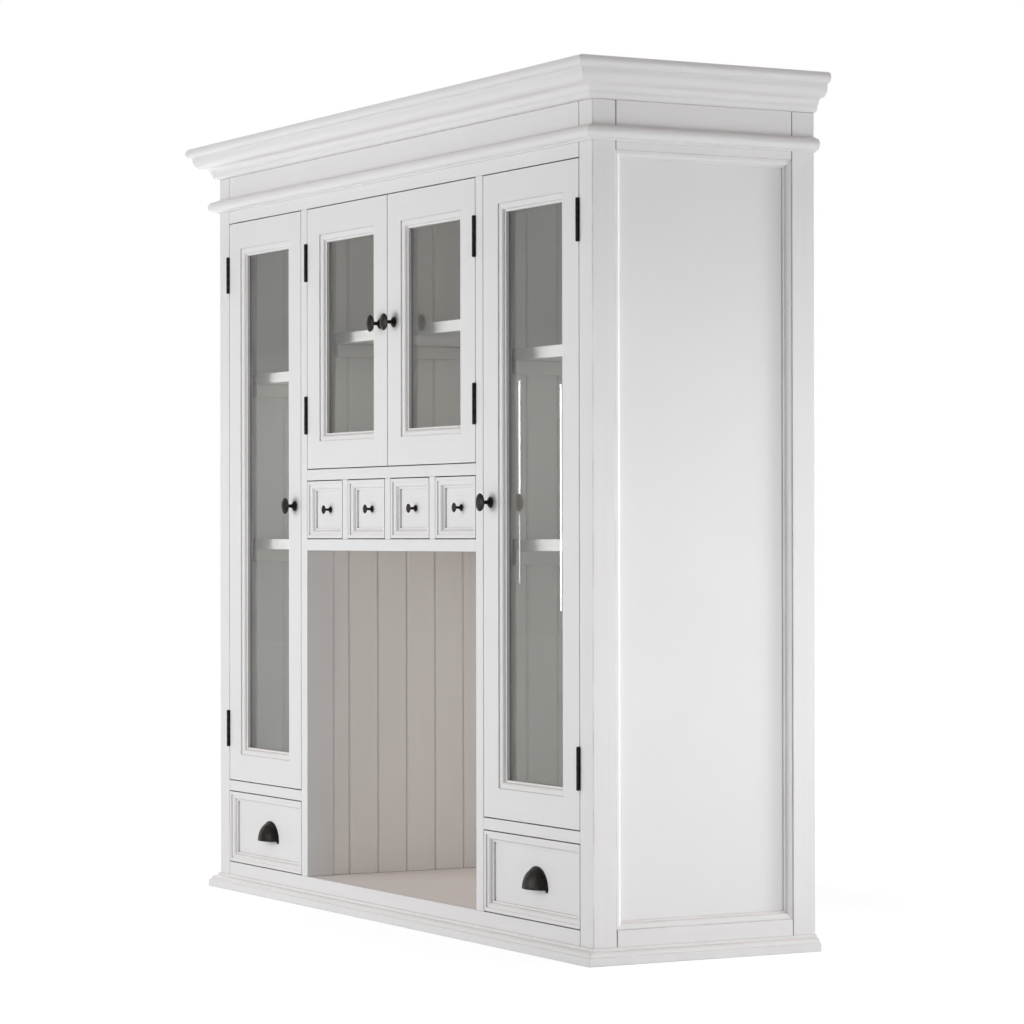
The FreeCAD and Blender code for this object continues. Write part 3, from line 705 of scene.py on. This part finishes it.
def white_world():
    """White where it is seen, and a soft light on the hutch."""
    world = bpy.data.worlds.new("studio")
    bpy.context.scene.world = world
    world.use_nodes = True
    tree = world.node_tree
    soft = tree.nodes["Background"]
    feed(tree, soft, {"Color": WHITE, "Strength": AMBIENT})
    white = add(tree, "ShaderNodeBackground", {"Color": WHITE, "Strength": 1.0})
    either = mix_shader(tree, seen_directly(tree), soft.outputs[0], white.outputs[0])
    show(tree, either, "World Output")


def pale_floor():
    """A pale floor that looks white and keeps a faint shadow under the hutch."""
    bm = bmesh.new()
    bmesh.ops.create_grid(bm, x_segments=1, y_segments=1, size=FLOOR_HALF_W)
    floor = mesh_in_scene("floor", bm)
    material, tree = new_material("pale_floor")
    pale = principled(tree, {
        "Base Color": FLOOR_TONE,
        "Roughness": FLOOR_ROUGHNESS,
        "Specular IOR Level": 0.0,
    })
    veil = add(tree, "ShaderNodeBsdfDiffuse", {"Color": FLOOR_VEIL}).outputs[0]
    away = add(tree, "ShaderNodeVectorMath", {0: place_on_piece(tree)}, operation="LENGTH").outputs["Value"]
    glow = glowing(tree, WHITE, ramped(tree, away, FLOOR_DISTANCES, FLOOR_GLOWS))
    shown = add(tree, "ShaderNodeAddShader", {0: veil, 1: glow}).outputs[0]
    show(tree, mix_shader(tree, seen_directly(tree), pale, shown))
    floor.data.materials.append(material)


def softbox(name, place, aim, size, power, spread=180):
    """A soft lamp. The spread is the full angle that its grid lets through, in degrees."""
    light = bpy.data.lights.new(name, "AREA")
    light.shape = "RECTANGLE"
    light.size, light.size_y = size
    light.energy = power
    light.spread = math.radians(spread)
    lamp = in_scene(name, light)
    lamp.location = place
    lamp.rotation_euler = (Vector(aim) - Vector(place)).to_track_quat("-Z", "Y").to_euler()
    lamp.visible_camera = False


def card(name, corners, material):
    """A sheet that shows only in reflections and lights nothing."""
    bm = bmesh.new()
    bm.faces.new([bm.verts.new(corner) for corner in corners])
    sheet = mesh_in_scene(name, bm)
    sheet.data.materials.append(material)
    sheet.visible_camera = False
    sheet.visible_diffuse = False
    sheet.visible_shadow = False
    sheet.visible_transmission = False


def grey_card():
    """A grey card that the panes mirror instead of white, darker at the top and brighter at both ends."""
    material, tree = new_material("grey_card")
    place = place_on_piece(tree)
    x = part_of(tree, place, "X")
    low = ramped(tree, x, CARD_FADE_X, CARD_LOW_GLOWS)
    high = ramped(tree, x, CARD_FADE_X, CARD_HIGH_GLOWS)
    rise = ramped(tree, part_of(tree, place, "Z"), CARD_RISE_Z)
    level = mix_value(tree, rise, low, high)
    bright_end = ramped(tree, x, CARD_BRIGHT_X, CARD_BRIGHT_GLOWS)
    show(tree, glowing(tree, CARD_TONE, maths(tree, "ADD", level, bright_end)))
    foot = [(*CARD_RIGHT_END, 0.0), (*CARD_LEFT_END, 0.0)]
    head = [(*CARD_LEFT_END, CARD_H), (*CARD_RIGHT_END, CARD_H)]
    card("grey_card", foot + head, material)


def bright_strip(name, colour, x, y, z, power):
    """A thin bright strip of light, seen in the right pane."""
    material, tree = new_material(name)
    show(tree, glowing(tree, colour, power))
    card(name, [(x[0], y, z[0]), (x[1], y, z[0]), (x[1], y, z[1]), (x[0], y, z[1])], material)


white_world()
pale_floor()
grey_card()
bright_strip("strip_left", WHITE, x=(-0.4551, -0.4484), y=LEFT_STRIP_Y, z=(0.706, 0.9185), power=11.0)
bright_strip("strip_left_low", STRIP_BLUE, x=(-0.4536, -0.4503), y=LEFT_STRIP_Y, z=(0.548, 0.673), power=9.0)
bright_strip("strip_right", WHITE, x=(-0.319, -0.3129), y=RIGHT_STRIP_Y, z=(0.4996, 0.9072), power=13.0)
softbox("left_softbox", place=(-1.3, -2.0, 0.35), aim=(-0.3, -0.2, 0.55), size=(1.2, 0.7), power=4.4)
softbox("front_softbox", place=(-0.8, -2.5, 1.0), aim=(0.2, -0.2, 0.55), size=(1.6, 1.2), power=16.6)
softbox("right_softbox", place=(-0.15, -2.5, 0.62), aim=(0.4, -0.1, 0.55), size=(0.8, 1.0), power=14.6)
softbox("side_softbox", place=(1.95, 0.6, 0.5), aim=(0.68, 0.0, 0.5), size=(0.9, 1.0), power=5.6)
softbox("corner_softbox", place=(1.95, -0.12, 0.5), aim=(0.68, -0.12, 0.5), size=(0.6, 1.0), power=1.5)
softbox("rear_softbox", place=(1.55, 2.75, 0.72), aim=(1.55, 0, 0.5), size=(0.8, 1.4), power=16.0, spread=60)
softbox("back_softbox", place=(-0.8, 2.8, 0.8), aim=(-0.4, 0.2, 0.6), size=(1.2, 1.0), power=12.0)
softbox("far_side_softbox", place=(-2.2, 0.1, 0.8), aim=(-0.68, 0.0, 0.6), size=(0.9, 1.0), power=5.0)
softbox("top_softbox", place=(0.0, 0.1, 3.2), aim=(0.0, 0.1, 1.3), size=(1.6, 0.6), power=8.0)


# Camera

lens = bpy.data.cameras.new("camera")
lens.sensor_width = SENSOR_W
lens.lens = CAMERA_LENS
lens.clip_end = CAMERA_REACH
camera = in_scene("camera", lens)
camera.location = CAMERA_PLACE
camera.rotation_euler = [math.radians(turn) for turn in CAMERA_TURN]
bpy.context.scene.camera = camera
bpy.context.scene.view_settings.view_transform = "Standard"
